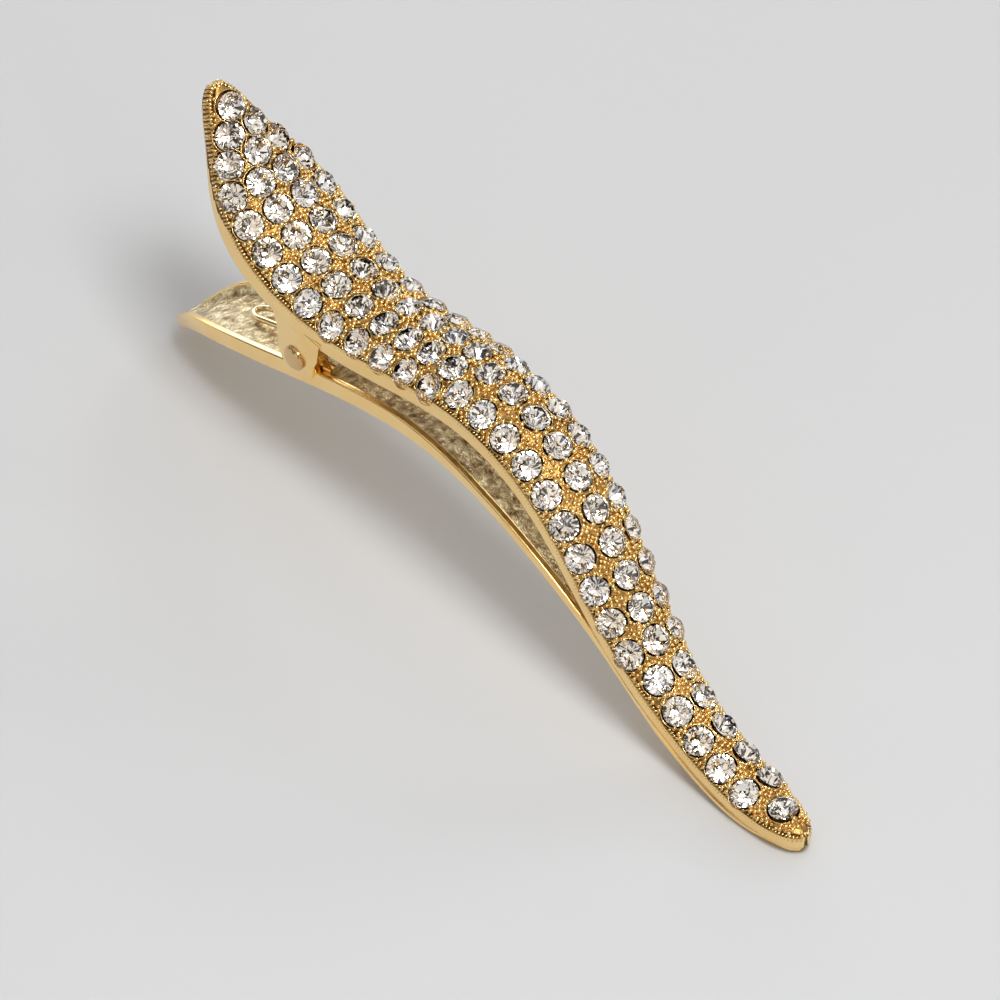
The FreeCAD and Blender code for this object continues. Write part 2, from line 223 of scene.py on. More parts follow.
def ball(detail):
    """Vertices and faces of a unit ball."""
    work = bmesh.new()
    bmesh.ops.create_icosphere(work, subdivisions=detail, radius=1.0)
    verts = np.array([v.co for v in work.verts])
    faces = [tuple(v.index for v in f.verts) for f in work.faces]
    work.free()
    return verts, faces


BALL = ball(2)
SMALL_BALL = ball(1)


def axes_on(normal, along):
    """A frame whose third axis is the normal and first axis lies along the given way."""
    n = normal / np.linalg.norm(normal)
    a = along - n * np.dot(along, n)
    a /= np.linalg.norm(a)
    return np.stack([a, np.cross(n, a), n], 1)


def turned(axes, angle):
    c, s = math.cos(angle), math.sin(angle)
    return axes @ np.array([[c, -s, 0], [s, c, 0], [0, 0, 1]])


def tube(path, radius, sides=14):
    """A round wire along a path of points, with rounded ends."""
    path = np.asarray(path, float)
    ways = np.gradient(path, axis=0)
    ways /= np.linalg.norm(ways, axis=1)[:, None]
    ref = np.cross(ways[0], [0.3, 0.9, 0.2])
    angles = np.arange(sides) * 2 * math.pi / sides
    rings = []
    for centre, way in zip(path, ways):
        ref = ref - way * np.dot(ref, way)
        ref /= np.linalg.norm(ref)
        spokes = np.cos(angles)[:, None] * ref + np.sin(angles)[:, None] * np.cross(way, ref)
        rings.append((centre, way, spokes))
    verts = [centre + radius * spokes for centre, _, spokes in rings]
    for end, sign in ((0, -1), (-1, 1)):
        centre, way, spokes = rings[end]
        caps = []
        for share in (0.5, 0.85):
            r = radius * math.sqrt(1 - share * share)
            caps.append(centre + way * sign * radius * share + r * spokes)
        if sign < 0:
            verts = caps[::-1] + verts
        else:
            verts = verts + caps
    count = len(verts)
    faces = grid_faces(count, sides, close=True)
    close_ends(faces, count, sides)
    return np.concatenate(verts), faces


# ---------------------------------------------------------------- materials
def material(name):
    mat = bpy.data.materials.new(name)
    mat.use_nodes = True
    nodes = mat.node_tree.nodes
    return mat, nodes, mat.node_tree.links, nodes["Principled BSDF"]


def noise(nodes, links, coords, scale, detail, rough=0.55):
    node = nodes.new("ShaderNodeTexNoise")
    node.inputs["Scale"].default_value = scale
    node.inputs["Detail"].default_value = detail
    node.inputs["Roughness"].default_value = rough
    links.new(coords.outputs["Object"], node.inputs["Vector"])
    return node


def ramp(nodes, links, source, stops):
    node = nodes.new("ShaderNodeValToRGB")
    node.color_ramp.elements[0].position = stops[0][0]
    node.color_ramp.elements[0].color = stops[0][1]
    node.color_ramp.elements[1].position = stops[-1][0]
    node.color_ramp.elements[1].color = stops[-1][1]
    for position, color in stops[1:-1]:
        node.color_ramp.elements.new(position).color = color
    links.new(source, node.inputs["Fac"])
    return node


def gold(name, bright, dark, roughness, spread, grain_scale, bump, blotch_scale=180.0,
         depth=0.0001):
    """Plated gold: slow colour drift, a fine cast or polish grain, uneven gloss."""
    mat, nodes, links, shader = material(name)
    shader.inputs["Metallic"].default_value = 1.0
    coords = nodes.new("ShaderNodeTexCoord")
    drift = noise(nodes, links, coords, blotch_scale, 3.0)
    colors = ramp(nodes, links, drift.outputs["Fac"], [(0.30, (*dark, 1)), (0.62, (*bright, 1))])
    links.new(colors.outputs["Color"], shader.inputs["Base Color"])
    grain = noise(nodes, links, coords, grain_scale, 5.0, 0.6)
    gloss = nodes.new("ShaderNodeMapRange")
    gloss.inputs["From Min"].default_value = 0.3
    gloss.inputs["From Max"].default_value = 0.7
    gloss.inputs["To Min"].default_value = roughness - spread
    gloss.inputs["To Max"].default_value = roughness + spread
    links.new(grain.outputs["Fac"], gloss.inputs["Value"])
    links.new(gloss.outputs["Result"], shader.inputs["Roughness"])
    relief = nodes.new("ShaderNodeBump")
    relief.inputs["Strength"].default_value = bump
    relief.inputs["Distance"].default_value = depth
    links.new(grain.outputs["Fac"], relief.inputs["Height"])
    links.new(relief.outputs["Normal"], shader.inputs["Normal"])
    return mat


GOLD_BRIGHT = (1.0, 0.73, 0.33)
GOLD_WARM = (0.99, 0.66, 0.26)
polished = gold("gold_polished", GOLD_BRIGHT, GOLD_WARM, 0.20, 0.06, 1500.0, 0.10)
# The bed between the stones and beads is a dark gold: painted shade in the gaps between them.
bed_painted_shade = gold("gold_bed_painted_shade", (0.60, 0.36, 0.11), (0.14, 0.07, 0.018), 0.32, 0.10, 2600.0, 0.9, 900.0)
# Dark brown gold for painted shade in the recesses: round the stone seats, in the groove under the
# milgrain and between the tail ribs.
painted_recess_shade = gold("gold_painted_recess_shade", (0.20, 0.09, 0.02), (0.06, 0.025, 0.006), 0.38, 0.10, 2600.0, 0.6,
              900.0)
beading = gold("gold_beading", (1.0, 0.74, 0.33), (0.66, 0.38, 0.11), 0.15, 0.06, 2200.0, 0.25,
               1100.0)
cast_inside = gold("gold_cast_inside", (1.0, 0.87, 0.56), (0.25, 0.125, 0.03), 0.20, 0.10, 800.0,
                   1.0, 1000.0, 0.0005)
wire_gold = gold("gold_wire", (1.0, 0.86, 0.56), (0.92, 0.70, 0.34), 0.14, 0.05, 1800.0, 0.10)
rivet_gold = gold("gold_rivet", (0.74, 0.50, 0.25), (0.44, 0.27, 0.11), 0.20, 0.06, 1300.0, 0.2)


def crystal():
    """Clear lead glass for the crown of a chaton."""
    mat, nodes, links, shader = material("crystal_crown")
    coords = nodes.new("ShaderNodeTexCoord")
    drift = noise(nodes, links, coords, 260.0, 2.0)
    tint = ramp(nodes, links, drift.outputs["Fac"],
                [(0.35, (0.97, 0.97, 1.0, 1)), (0.65, (1.0, 0.99, 0.96, 1))])
    links.new(tint.outputs["Color"], shader.inputs["Base Color"])
    shader.inputs["Transmission Weight"].default_value = 1.0
    shader.inputs["IOR"].default_value = 1.58
    smear = noise(nodes, links, coords, 1500.0, 3.0)
    gloss = nodes.new("ShaderNodeMapRange")
    gloss.inputs["To Min"].default_value = 0.0
    gloss.inputs["To Max"].default_value = 0.012
    links.new(smear.outputs["Fac"], gloss.inputs["Value"])
    links.new(gloss.outputs["Result"], shader.inputs["Roughness"])
    return mat


def foil():
    """Silvered foil behind the pavilion, slightly warm and uneven from stone to stone."""
    mat, nodes, links, shader = material("crystal_foil")
    shader.inputs["Metallic"].default_value = 1.0
    coords = nodes.new("ShaderNodeTexCoord")
    drift = noise(nodes, links, coords, 420.0, 2.0)
    tint = ramp(nodes, links, drift.outputs["Fac"],
                [(0.36, (0.95, 0.87, 0.77, 1)), (0.50, (0.99, 0.94, 0.87, 1)),
                 (0.64, (1.0, 0.98, 0.95, 1))])
    links.new(tint.outputs["Color"], shader.inputs["Base Color"])
    smear = noise(nodes, links, coords, 900.0, 3.0)
    gloss = nodes.new("ShaderNodeMapRange")
    gloss.inputs["To Min"].default_value = 0.0
    gloss.inputs["To Max"].default_value = 0.03
    links.new(smear.outputs["Fac"], gloss.inputs["Value"])
    links.new(gloss.outputs["Result"], shader.inputs["Roughness"])
    return mat


crown_glass = crystal()
foil_back = foil()


# ---------------------------------------------------------------- dome of the upper arm
def dome_measures(x):
    share = (x - UPPER_SIDE[0][0]) / (UPPER_SIDE[-1][0] - UPPER_SIDE[0][0])
    angle = DOME_ANGLES[0] + share * (DOME_ANGLES[1] - DOME_ANGLES[0])
    half = upper_plan.value(x)
    return table(UPPER_RIM, x), half, angle, half / np.sin(angle)


ALONG = 760
ACROSS = 108
xs = even_stations(upper_side, UPPER_SIDE[0][0], UPPER_SIDE[-1][0], ALONG)
place, normal = upper_side.place(xs)
rim, half, angle, radius = dome_measures(xs)
turn = np.linspace(-1, 1, ACROSS)[None, :] * angle[:, None]
dome_rise = rim[:, None] + radius[:, None] * (np.cos(turn) - np.cos(angle)[:, None])
dome_across = radius[:, None] * np.sin(turn)
dome_points = in_space(place[:, None, :], normal[:, None, :], dome_across, dome_rise)
dome_normals = np.stack([normal[:, 0:1] * np.cos(turn), np.sin(turn),
                         normal[:, 1:2] * np.cos(turn)], -1)
surface_tree = kdtree.KDTree(ALONG * ACROSS)
for i, point in enumerate(dome_points.reshape(-1, 3)):
    surface_tree.insert(point, i)
surface_tree.balance()
flat_points = dome_points.reshape(-1, 3)
flat_normals = dome_normals.reshape(-1, 3)


# ---------------------------------------------------------------- rhinestones
def stone_centres(node):
    """Middles of the separate solids in a CAD node, in mm."""
    work = bmesh.new()
    work.from_mesh(frame["nodes"][node].data)
    bmesh.ops.remove_doubles(work, verts=work.verts, dist=1e-7)
    seen = set()
    centres = []
    for start in work.verts:
        if start.index in seen:
            continue
        seen.add(start.index)
        group = [start]
        for vert in group:
            for edge in vert.link_edges:
                other = edge.other_vert(vert)
                if other.index not in seen:
                    seen.add(other.index)
                    group.append(other)
        spots = np.array([v.co for v in group])
        centres.append((spots.min(0) + spots.max(0)) / 2 / MM)
    work.free()
    return centres


FACETS = 8
STONE_LEAN = 0.06
STONE_LIFT = 0.06
STONE_PLAY = 0.02


def brilliant():
    """A cut chaton of unit girdle radius: vertices, faces, and which faces are foiled."""
    table_r, table_z = 0.56, 0.47
    kite_r, kite_z = 0.80, 0.28
    girdle_top, girdle_foot = 0.06, -0.04
    main_r, main_z = 0.40, -0.52
    tip_z = -0.84
    verts = []

    def loop(count, shift, r, z):
        first = len(verts)
        for i in range(count):
            a = 2 * math.pi * (i + shift) / count
            verts.append((r * math.cos(a), r * math.sin(a), z))
        return first

    flat = loop(FACETS, 0.0, table_r, table_z)
    kite = loop(FACETS, 0.5, kite_r, kite_z)
    top = loop(2 * FACETS, 0.0, 1.0, girdle_top)
    foot = loop(2 * FACETS, 0.0, 1.0, girdle_foot)
    main = loop(FACETS, 0.5, main_r, main_z)
    verts.append((0, 0, tip_z))
    tip = len(verts) - 1
    crown = [tuple(flat + i for i in range(FACETS))]
    back = []
    for i in range(FACETS):
        j = (i + 1) % FACETS
        after = (2 * i + 2) % (2 * FACETS)
        crown.append((flat + i, kite + i, flat + j))
        crown.append((flat + j, kite + i, top + 2 * j, kite + j))
        crown.append((kite + i, top + 2 * i, top + 2 * i + 1))
        crown.append((kite + i, top + 2 * i + 1, top + after))
        back.append((tip, main + j, foot + 2 * j, main + i))
        back.append((main + i, foot + 2 * i + 1, foot + 2 * i))
        back.append((main + i, foot + after, foot + 2 * i + 1))
    for i in range(2 * FACETS):
        j = (i + 1) % (2 * FACETS)
        crown.append((top + i, foot + i, foot + j, top + j))
    return np.array(verts), crown, back


STONE, CROWN, BACK = brilliant()
stones = []
course_nodes = sorted(n for n in frame["nodes"] if n.startswith("rhinestone_course"))
for node in course_nodes:
    spots = []
    for centre in stone_centres(node):
        _, index, _ = surface_tree.find(centre)
        way = flat_normals[index]
        foot = centre + way * np.dot(flat_points[index] - centre, way)
        spots.append((foot, way))
    stones += spots
    verts = []
    faces = []
    marks = []
    for foot, way in spots:
        lean = np.array([random.uniform(-STONE_LEAN, STONE_LEAN) for _ in range(3)])
        axes = turned(axes_on(way + lean, np.array([1.0, 0.1, 0.0])), random.uniform(0, 6.28))
        here = foot + way * STONE_LIFT + (STONE * (STONE_RADIUS - STONE_PLAY)) @ axes.T
        base = len(verts)
        verts += here.tolist()
        for group, mark in ((CROWN, 0), (BACK, 1)):
            for face in group:
                faces.append(tuple(i + base for i in face))
                marks.append(mark)
    gem = mesh_object(node.replace("rhinestone", "cut_rhinestone"), verts, faces, smooth=False)
    gem.data.materials.append(crown_glass)
    gem.data.materials.append(foil_back)
    gem.data.polygons.foreach_set("material_index", marks)
    outward(gem)
    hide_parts(node)
    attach(gem, UPPER)

stone_tree = kdtree.KDTree(len(stones))
for i, (foot, way) in enumerate(stones):
    stone_tree.insert(foot, i)
stone_tree.balance()


def stone_distance(point):
    """Distance from a surface point to the nearest stone's axis."""
    _, index, _ = stone_tree.find(point)
    foot, way = stones[index]
    gap = np.asarray(point) - foot
    return np.linalg.norm(gap - way * np.dot(gap, way))


# ---------------------------------------------------------------- upper arm shell
SEAT = STONE_RADIUS + 0.10
TAIL_RIBS = [(-42.6, 1.1), (-38.5, 1.3), (-35.5, 0.9), (-33.5, 0.1), (-32.5, 0.0)]
LEDGE_DEPTH = 0.62
THROUGH_HOLE = 0.90
SEAT_SLOPE = 0.16
COLLAR_HEIGHT = 0.10
COLLAR_WIDTH = 0.10
COLLAR_OFFSET = 0.12
GROOVE_DEPTH = 0.12
GROOVE_MIDDLE = 0.36
GROOVE_HALF = 0.26
SHELL_WALL = 1.15
RIM_WALL = 0.95
BACK_HOLE = 1.30
BACK_SLOPE = 0.25
seat_gap = np.array([stone_distance(p) for p in flat_points]).reshape(ALONG, ACROSS)
# The bed steps down to a ledge at each seat, and swells a little into a collar beside it.
sink = -LEDGE_DEPTH * np.clip((SEAT - seat_gap) / SEAT_SLOPE, 0, 1)
collar = COLLAR_HEIGHT * np.exp(-((seat_gap - SEAT - COLLAR_OFFSET) / COLLAR_WIDTH) ** 2)
# A groove runs along both edges under the milgrain.
from_edge = (1 - np.abs(turn) / angle[:, None]) * (radius * angle)[:, None]
groove = GROOVE_DEPTH * np.clip(1 - np.abs(from_edge - GROOVE_MIDDLE) / GROOVE_HALF, 0, 1)
top = dome_points + dome_normals * (sink + collar - groove)[..., None]

inner_across = np.clip(half - RIM_WALL, 0.15, None)
inner_radius = np.clip(radius - SHELL_WALL, 0.3, None)
squeeze = np.minimum(1, inner_across / (inner_radius * np.sin(angle)))
under_rise = rim[:, None] + inner_radius[:, None] * np.cos(turn) - (
    radius * np.cos(angle))[:, None]
under_rise = np.clip(under_rise, 0.25, None)
under_across = inner_radius[:, None] * np.sin(turn) * squeeze[:, None]
under = in_space(place[:, None, :], normal[:, None, :], under_across, under_rise)
# Behind each stone the inside rises to meet the ledge, and a hole lets the foil through.
back_gap = np.array([stone_distance(p) for p in under.reshape(-1, 3)]).reshape(ALONG, ACROSS)
rise = (SHELL_WALL - LEDGE_DEPTH) * np.clip((BACK_HOLE - back_gap) / BACK_SLOPE, 0, 1)
under = under + dome_normals * rise[..., None]

WALL_STEPS = 9
LIP_DEPTH = 0.16
LIP_SHARE = 0.14
WALL_SWELL = 0.03


def wall(sign, outer):
    """The rim's side, from the dome's edge down, with a rounded lower lip."""
    rows = []
    across = half if outer else inner_across
    upper_end = rim if outer else under_rise[:, 0]
    for step in range(1, WALL_STEPS + 1):
        share = step / WALL_STEPS
        rise = upper_end * (1 - share)
        lip = LIP_DEPTH * np.clip((share - 1 + LIP_SHARE) / LIP_SHARE, 0, 1) ** 2
        swell = WALL_SWELL * np.sin(math.pi * share)
        shift = -lip + swell if outer else lip
        rows.append(in_space(place, normal, sign * (across + shift), rise))
    return rows


left_out = wall(-1, True)
right_out = wall(1, True)
left_in = wall(-1, False)
right_in = wall(1, False)
loop_rows = left_out[::-1] + [top[:, j] for j in range(ACROSS)] + right_out
loop_rows += right_in[::-1] + [under[:, j] for j in range(ACROSS)[::-1]] + left_in
ring = len(loop_rows)
shell_verts = np.stack(loop_rows, 1).reshape(-1, 3)
TOP_FIRST = WALL_STEPS
UNDER_FIRST = 3 * WALL_STEPS + ACROSS
closed = np.ones((ALONG - 1, ring), bool)
closed[:, TOP_FIRST:TOP_FIRST + ACROSS][seat_gap[:-1] < THROUGH_HOLE] = False
closed[:, UNDER_FIRST:UNDER_FIRST + ACROSS][back_gap[:-1, ::-1] < THROUGH_HOLE] = False
shell_faces = [face for face, kept in zip(grid_faces(ALONG, ring, close=True), closed.flat) if kept]
close_ends(shell_faces, ALONG, ring)
shell = mesh_object("upper_arm_shell", shell_verts, shell_faces)
shell.data.materials.append(polished)
shell.data.materials.append(bed_painted_shade)
shell.data.materials.append(cast_inside)
shell.data.materials.append(painted_recess_shade)
# Material slots: 0 polished walls, 1 the bed with painted shade between the beads, 2 the cast
# inside, 3 painted shade in the recesses.
loop_kind = ([0] * WALL_STEPS + [1] * (ACROSS - 1) + [0] * WALL_STEPS
             + [0] + [2] * (WALL_STEPS - 1 + ACROSS + WALL_STEPS - 1) + [0])
kinds = np.tile((loop_kind + [0] * ring)[:ring], (ALONG - 1, 1))
# Painted shade: faces round each seat and along the groove band by the dome's edge take the dark
# recess gold.
dark = (seat_gap < SEAT + 0.02) | ((from_edge > 0.10) & (from_edge < 0.62))
kinds[:, WALL_STEPS:WALL_STEPS + ACROSS - 1][dark[:-1, :-1]] = 3
# Painted shade between the tail ribs: the wall faces behind them take the dark recess gold too.
ribbed = np.rint(WALL_STEPS * table(TAIL_RIBS, xs) / rim).astype(int)
for row in range(int(np.argmax(xs > TAIL_RIBS[-1][0]))):
    kinds[row, WALL_STEPS - ribbed[row]:WALL_STEPS] = 3
    kinds[row, WALL_STEPS + ACROSS - 1:WALL_STEPS + ACROSS - 1 + ribbed[row]] = 3
shell.data.polygons.foreach_set("material_index", kinds[closed].tolist() + [0, 0])
outward(shell)
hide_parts("upper_arm")
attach(shell, UPPER)


# ---------------------------------------------------------------- milgrain along the dome's edge
milgrain = Soup()
edge_run = np.concatenate([[0], np.cumsum(np.linalg.norm(
    np.diff(dome_points[:, 0], axis=0), axis=1))])
RIB_PITCH = 0.38
RIB_REACH = 0.2
RIB_TWIST = 0.30
END_BEADS = 3


def along_edge(points, at):
    """A value interpolated along the dome's edge, at a run length from the tail."""
    return np.array([np.interp(at, edge_run, points[:, k]) for k in range(3)])


for side, column in ((-1, 0), (1, ACROSS - 1)):
    edge = dome_points[:, column]
    facing = dome_normals[:, column]
    for number in range(int(edge_run[-1] / RIB_PITCH) + 1):
        at = min(number * RIB_PITCH, edge_run[-1])
        point = along_edge(edge, at)
        ahead = along_edge(edge, at + RIB_REACH)
        behind = along_edge(edge, at - RIB_REACH)
        out = along_edge(facing, at)
        axes = turned(axes_on(out, ahead - behind), side * RIB_TWIST)
        scale = np.array([0.17, 0.44, 0.22]) * random.uniform(0.92, 1.06)
        point = point - out * 0.06 - np.array([0, side * 0.16, 0])
        milgrain.add(point + (SMALL_BALL[0] * scale) @ axes.T, SMALL_BALL[1])
        # At the tail the ribs run on down the side of the rim.
        drop = float(table(TAIL_RIBS, point[0]))
        if drop > 0.15:
            row = int(np.clip(np.interp(at, edge_run, np.arange(ALONG)), 0, ALONG - 1))
            down = -np.array([normal[row, 0], 0, normal[row, 1]])
            axes = axes_on(np.array([0.0, side, 0.0]), ahead - behind)
            middle = dome_points[row, column] + down * drop * 0.5
            scale = np.array([0.16, 0.5 * drop, 0.24])
            milgrain.add(middle + (SMALL_BALL[0] * scale) @ axes.T, SMALL_BALL[1])
for end in (0, ALONG - 1):
    for number in range(END_BEADS):
        column = int((number + 1) * (ACROSS - 1) / (END_BEADS + 1))
        point = dome_points[end, column]
        out = dome_normals[end, column]
        axes = axes_on(out, np.array([0.0, 1.0, 0.0]))
        inside = 1 if end == 0 else -1
        way = dome_points[end + inside, column] - point
        way /= np.linalg.norm(way)
        milgrain.add(point + way * 0.25 + (SMALL_BALL[0] * [0.2, 0.3, 0.22]) @ axes.T,
                     SMALL_BALL[1])
rope = milgrain.build("milgrain_border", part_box("upper_arm"))
rope.data.materials.append(beading)
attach(rope, UPPER)

# ---------------------------------------------------------------- thin rings round the stones
RING_SIDES = 6
RING_STEPS = 40
RING_RADIUS = STONE_RADIUS + 0.17
RING_HALF_WIDTH = 0.055
RING_HALF_HEIGHT = 0.10
RING_LIFT = 0.02
collars = Soup()
for foot, way in stones:
    axes = axes_on(way, np.array([1.0, 0.1, 0.0]))
    around = np.arange(RING_STEPS) * 2 * math.pi / RING_STEPS
    path = foot + (np.stack([np.cos(around), np.sin(around), 0 * around], 1)
                   * RING_RADIUS) @ axes.T
    spokes = (path - foot) / RING_RADIUS
    drops = []
    for point in path:
        _, index, _ = surface_tree.find(point)
        past_edge = index % ACROSS in (0, ACROSS - 1)
        drops.append(np.dot(flat_points[index] - point, way) - 0.45 * past_edge)
    path = path + np.clip(np.array(drops), -0.6, 0.3)[:, None] * way
    sections = []
    for j in range(RING_SIDES):
        a = 2 * math.pi * j / RING_SIDES
        sections.append(path + spokes * RING_HALF_WIDTH * math.cos(a)
                        + way * (RING_LIFT + RING_HALF_HEIGHT * math.sin(a)))
    collars.add(np.stack(sections, 1).reshape(-1, 3),
                grid_faces(RING_STEPS, RING_SIDES, close=True)
                + [((RING_STEPS - 1) * RING_SIDES + j, (RING_STEPS - 1) * RING_SIDES
                    + (j + 1) % RING_SIDES, (j + 1) % RING_SIDES, j) for j in range(RING_SIDES)])
rims = collars.build("seat_rims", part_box("upper_arm"))
rims.data.materials.append(beading)
outward(rims)
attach(rims, UPPER)

# ---------------------------------------------------------------- beads and prongs
beads = Soup()
cells = {}
CELL = 0.8
PRONGS = 7
PRONG_SPACING = 0.50
BEAD_SPACING = 0.40
EDGE_CLEARANCE = 0.45


def cell_of(point):
    return tuple(int(math.floor(c / CELL)) for c in point)


def near_cells(point):
    x, y, z = cell_of(point)
    for i in (-1, 0, 1):
        for j in (-1, 0, 1):
            for k in (-1, 0, 1):
                yield from cells.get((x + i, y + j, z + k), ())


def room_for(point, spacing):
    return all(np.sum((point - other) ** 2) > spacing * spacing for other in near_cells(point))


def put_bead(point, way, size):
    cells.setdefault(cell_of(point), []).append(point)
    axes = axes_on(way, np.array([1.0, 0.2, 0.1]))
    stretch = np.array([size, size * random.uniform(0.85, 1.1), size * 0.9])
    beads.add(point + (BALL[0] * stretch) @ turned(axes, random.uniform(0, 3)).T, BALL[1])


def surface_at(point):
    _, index, _ = surface_tree.find(point)
    return flat_points[index], flat_normals[index], index


def clear_of_edge(index):
    column = index % ACROSS
    row = index // ACROSS
    share = abs(turn[row, column]) / angle[row]
    return (1 - share) * radius[row] * angle[row] > EDGE_CLEARANCE and 6 < row < ALONG - 7


# Prongs lean on each stone's girdle, between it and its neighbours.
for foot, way in stones:
    axes = axes_on(way, np.array([1.0, 0.0, 0.0]))
    first = random.uniform(0, 0.8)
    for k in range(PRONGS):
        a = first + 2 * math.pi * k / PRONGS + random.uniform(-0.12, 0.12)
        guess = foot + axes @ np.array([math.cos(a), math.sin(a), 0]) * (STONE_RADIUS + 0.13)
        point, out, index = surface_at(guess)
        gap = stone_distance(point)
        if gap > STONE_RADIUS + 0.05 and clear_of_edge(index) and room_for(point, PRONG_SPACING):
            put_bead(point + out * 0.22, out, random.uniform(0.26, 0.33))
# Finer beads fill what is left of the bed.
order = list(range(0, len(flat_points), 3))
random.shuffle(order)
for index in order:
    point = flat_points[index]
    if not clear_of_edge(index) or seat_gap.flat[index] < STONE_RADIUS + 0.22:
        continue
    if room_for(point, BEAD_SPACING):
        put_bead(point + flat_normals[index] * 0.08, flat_normals[index],
                 random.uniform(0.20, 0.28))
grains = beads.build("bead_setting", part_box("upper_arm"))
grains.data.materials.append(beading)
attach(grains, UPPER)


# ---------------------------------------------------------------- hinge ears
def knuckle_outline(knuckle, corners, steps=22):
    """Round under the pin, then straight through the given corners back to the start."""
    points = [(knuckle * math.cos(a), knuckle * math.sin(a))
              for a in np.linspace(math.pi, 2 * math.pi, steps)]
    return points + corners


def ear_plate(name, outline, inside, outside, side, flare=None):
    """A bevelled plate beside the hinge line, its outline in (x, z) from the hinge."""
    work = bmesh.new()
    low = []
    high = []
    for x, z in outline:
        spread = flare(x, z) if flare else 0.0
        low.append(work.verts.new(((HINGE[0] + x) * MM, side * inside * MM, (HINGE[2] + z) * MM)))
        high.append(work.verts.new(((HINGE[0] + x) * MM, side * (outside + spread) * MM,
                                    (HINGE[2] + z) * MM)))
    work.faces.new(low)
    cap = work.faces.new(high)
    count = len(outline)
    for i in range(count):
        j = (i + 1) % count
        work.faces.new((low[i], low[j], high[j], high[i]))
    bmesh.ops.recalc_face_normals(work, faces=work.faces)
    bmesh.ops.bevel(work, geom=list(cap.edges), offset=EAR_BEVEL * MM, segments=3, profile=0.6,
                    affect="EDGES")
    mesh = bpy.data.meshes.new(name)
    work.to_mesh(mesh)
    work.free()
    obj = bpy.data.objects.new(name, mesh)
    bpy.context.scene.collection.objects.link(obj)
    obj.data.materials.append(polished)
    return obj


def shade_by_angle(obj, degrees=35):
    for face in obj.data.polygons:
        face.use_smooth = True
    work = bmesh.new()
    work.from_mesh(obj.data)
    for edge in work.edges:
        if edge.calc_face_angle(0) > math.radians(degrees):
            edge.smooth = False
    work.to_mesh(obj.data)
    work.free()


OUTER_EAR = knuckle_outline(2.6, [(2.75, 0.6), (3.2, 1.6), (3.5, 2.8), (3.8, 3.9), (4.0, 4.6),
                                  (-3.4, 5.0), (-2.75, 2.6)])
INNER_EAR = [(x, -z) for x, z in knuckle_outline(2.55, [])] + [(3.9, 0.4), (3.9, -2.3),
                                                             (-2.6, -3.3)]
# Distances of each plate's two faces from the middle of the clip.
OUTER_FACES = (4.62, 5.60)
INNER_FACES = (3.52, 4.43)
EAR_BEVEL = 0.14


def flare_up(x, z):
    return 0.34 * min(max((z - 1.2) / 2.6, 0), 1) ** 1.5


for side, word in ((-1, "near"), (1, "far")):
    plate = ear_plate("upper_ear_" + word, OUTER_EAR, *OUTER_FACES, side, flare_up)
    shade_by_angle(plate)
    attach(plate, UPPER)
    inner = ear_plate("lower_ear_" + word, INNER_EAR, *INNER_FACES, side)
    shade_by_angle(inner)
    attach(inner, LOWER)

# ---------------------------------------------------------------- lower arm
LOWER_COUNT = 520
JAW_START = 12
JAW_GAP = 0.12
LEAST_WALL = 0.35
TROUGH_END = 27.0
TROUGH_FADE = 4.0
lower_x = even_stations(lower_side, LOWER_SIDE[0][0], LOWER_SIDE[-1][0], LOWER_COUNT)
lower_place, lower_normal = lower_side.place(lower_x)
lower_half = lower_plan.value(lower_x)
lower_wall = table(LOWER_WALL, lower_x)
# Under the front of the upper arm the wall top keeps below the rim it closes on.
upper_z = upper_side.value(np.clip(lower_x, UPPER_SIDE[0][0], UPPER_SIDE[-1][0]))
slope = lower_normal[:, 1]
closed_top = np.clip((upper_z - JAW_GAP - lower_place[:, 1]) * slope, LEAST_WALL, None)
lower_wall = np.where(lower_x > JAW_START, np.minimum(lower_wall, closed_top), lower_wall)
trough = np.clip((TROUGH_END - lower_x) / TROUGH_FADE, 0, 1) * np.clip((lower_x + 45.2) / 1.6, 0, 1)
floor = np.minimum(0.8, 0.72 * lower_wall) * trough + lower_wall * (1 - trough)
thick = np.minimum(0.85, 0.42 * lower_half)


def arm_ring(i):
    """One cross-section of the lower arm: outside, rounded lips, inside, floor."""
    h, w, f, t = lower_half[i], lower_wall[i], floor[i], thick[i]
    lip = min(0.22, 0.45 * w, 0.45 * t)
    belly = min(0.35, 0.5 * w)
    side = []
    for a in np.linspace(-math.pi / 2, 0, 5):
        side.append((h - belly + belly * math.cos(a), belly + belly * math.sin(a)))
    for a in np.linspace(0, math.pi / 2, 5):
        side.append((h - lip + lip * math.cos(a), w - lip + lip * math.sin(a)))
    for a in np.linspace(math.pi / 2, math.pi, 5):
        side.append((h - t + lip + lip * math.cos(a), w - lip + lip * math.sin(a)))
    fillet = min(0.5, max((w - f) * 0.6, 0.01))
    for a in np.linspace(0, -math.pi / 2, 5):
        side.append((h - t - fillet + fillet * math.cos(a), f + fillet + fillet * math.sin(a)))
    side.append((max(h - t - fillet, 0.05) * 0.5, f))
    side.append((0.0, f))
    other = [(-y, z) for y, z in side[::-1]][1:]
    return side + other + [(-(h - belly) * 0.5, 0.0), (0.0, 0.0), ((h - belly) * 0.5, 0.0)]


